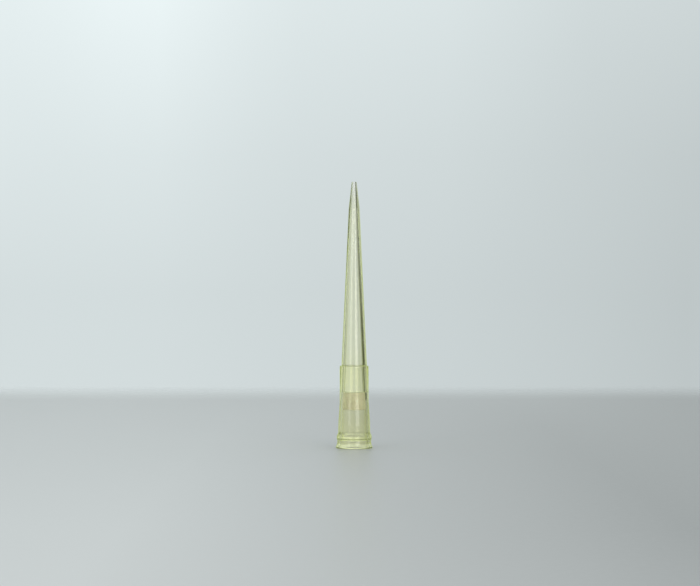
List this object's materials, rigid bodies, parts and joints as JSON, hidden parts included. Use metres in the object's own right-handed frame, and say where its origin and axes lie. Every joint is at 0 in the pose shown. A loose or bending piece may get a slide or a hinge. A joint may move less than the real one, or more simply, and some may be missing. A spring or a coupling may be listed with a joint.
{
  "type": "pipette tip",
  "caption": "Slender conical filter tip for a 200 microlitre pipette: stepped collar with a flared, beaded mouth, porous plug inside, fine graduation rings and a narrow point.",
  "frame": {"origin": "centre of the mouth's plane, which is what the tip stands on", "axes": "+Z along the tip's axis, from the mouth up to the point; X and Y are any two directions across it, because the tip is round"},
  "size_m": [0.007, 0.007, 0.051],
  "materials": {
    "clear_yellow_polypropylene": "gloss",
    "sintered_polyethylene": "matte"
  },
  "bodies": {
    "root": {"tip_body": "clear_yellow_polypropylene", "filter_plug": "sintered_polyethylene"}
  },
  "joints": []
}
